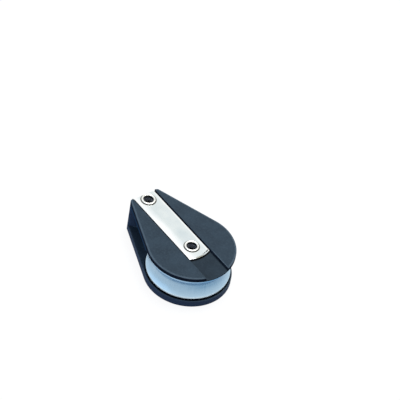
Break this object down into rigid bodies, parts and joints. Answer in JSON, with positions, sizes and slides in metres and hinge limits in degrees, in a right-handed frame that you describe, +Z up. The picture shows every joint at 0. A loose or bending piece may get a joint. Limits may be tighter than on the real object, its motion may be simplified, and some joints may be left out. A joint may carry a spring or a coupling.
{
  "type": "deck block",
  "caption": "Flat deck block with two dark moulded cheeks, a metal strap with hollow rivets, and a wide alloy sheave for a rope.",
  "frame": {"origin": "on the sheave's axle, at the face that lies on the deck", "axes": "+Z up, along the axle; +Y along the strap, from the axle to the head bolt"},
  "size_m": [0.0604, 0.0857, 0.0277],
  "materials": {
    "cheek_plastic": "fine moulded grain, satin",
    "strap_steel": "polished stainless sheet with rubbed edges",
    "rivet_steel": "polished, rolled rim",
    "sleeve_steel": "ground",
    "sheave_alloy": "anodised, turned",
    "bearing_plastic": "natural acetal, smooth",
    "cage_plastic": "moulded nylon"
  },
  "bodies": {
    "block": {"lower_cheek": "cheek_plastic", "upper_cheek": "cheek_plastic", "lower_strap": "strap_steel", "upper_strap": "strap_steel", "axle_rivet": "rivet_steel", "head_rivet": "rivet_steel", "bearing_sleeve": "sleeve_steel", "lower_thrust_ring": "bearing_plastic", "upper_thrust_ring": "bearing_plastic"},
    "sheave": {"sheave": "sheave_alloy"},
    "roller_cage": {"roller_cage": "cage_plastic"},
    "roller_1": {"roller_1": "bearing_plastic"},
    "roller_2": {"roller_2": "bearing_plastic"},
    "roller_3": {"roller_3": "bearing_plastic"},
    "roller_4": {"roller_4": "bearing_plastic"},
    "roller_5": {"roller_5": "bearing_plastic"},
    "roller_6": {"roller_6": "bearing_plastic"},
    "roller_7": {"roller_7": "bearing_plastic"},
    "roller_8": {"roller_8": "bearing_plastic"},
    "roller_9": {"roller_9": "bearing_plastic"},
    "roller_10": {"roller_10": "bearing_plastic"}
  },
  "joints": [
    {"name": "sheave_spin", "type": "hinge", "parent": "block", "child": "sheave", "pos_m": [0, 0, 0], "axis": [0, 0, 1], "continuous": true},
    {"name": "cage_spin", "type": "hinge", "parent": "block", "child": "roller_cage", "pos_m": [0, 0, 0], "axis": [0, 0, 1], "continuous": true},
    {"name": "roller_1_spin", "type": "hinge", "parent": "roller_cage", "child": "roller_1", "pos_m": [0.00732, 0.00532, 0], "axis": [0, 0, 1], "continuous": true},
    {"name": "roller_2_spin", "type": "hinge", "parent": "roller_cage", "child": "roller_2", "pos_m": [0.0028, 0.00861, 0], "axis": [0, 0, 1], "continuous": true},
    {"name": "roller_3_spin", "type": "hinge", "parent": "roller_cage", "child": "roller_3", "pos_m": [-0.0028, 0.00861, 0], "axis": [0, 0, 1], "continuous": true},
    {"name": "roller_4_spin", "type": "hinge", "parent": "roller_cage", "child": "roller_4", "pos_m": [-0.00732, 0.00532, 0], "axis": [0, 0, 1], "continuous": true},
    {"name": "roller_5_spin", "type": "hinge", "parent": "roller_cage", "child": "roller_5", "pos_m": [-0.00905, 0, 0], "axis": [0, 0, 1], "continuous": true},
    {"name": "roller_6_spin", "type": "hinge", "parent": "roller_cage", "child": "roller_6", "pos_m": [-0.00732, -0.00532, 0], "axis": [0, 0, 1], "continuous": true},
    {"name": "roller_7_spin", "type": "hinge", "parent": "roller_cage", "child": "roller_7", "pos_m": [-0.0028, -0.00861, 0], "axis": [0, 0, 1], "continuous": true},
    {"name": "roller_8_spin", "type": "hinge", "parent": "roller_cage", "child": "roller_8", "pos_m": [0.0028, -0.00861, 0], "axis": [0, 0, 1], "continuous": true},
    {"name": "roller_9_spin", "type": "hinge", "parent": "roller_cage", "child": "roller_9", "pos_m": [0.00732, -0.00532, 0], "axis": [0, 0, 1], "continuous": true},
    {"name": "roller_10_spin", "type": "hinge", "parent": "roller_cage", "child": "roller_10", "pos_m": [0.00905, 0, 0], "axis": [0, 0, 1], "continuous": true}
  ],
  "couplings": [
    {"joint": "cage_spin", "follows": "sheave_spin", "ratio": 0.6133},
    {"joint": "roller_1_spin", "follows": "sheave_spin", "ratio": 2.1464},
    {"joint": "roller_2_spin", "follows": "sheave_spin", "ratio": 2.1464},
    {"joint": "roller_3_spin", "follows": "sheave_spin", "ratio": 2.1464},
    {"joint": "roller_4_spin", "follows": "sheave_spin", "ratio": 2.1464},
    {"joint": "roller_5_spin", "follows": "sheave_spin", "ratio": 2.1464},
    {"joint": "roller_6_spin", "follows": "sheave_spin", "ratio": 2.1464},
    {"joint": "roller_7_spin", "follows": "sheave_spin", "ratio": 2.1464},
    {"joint": "roller_8_spin", "follows": "sheave_spin", "ratio": 2.1464},
    {"joint": "roller_9_spin", "follows": "sheave_spin", "ratio": 2.1464},
    {"joint": "roller_10_spin", "follows": "sheave_spin", "ratio": 2.1464}
  ]
}
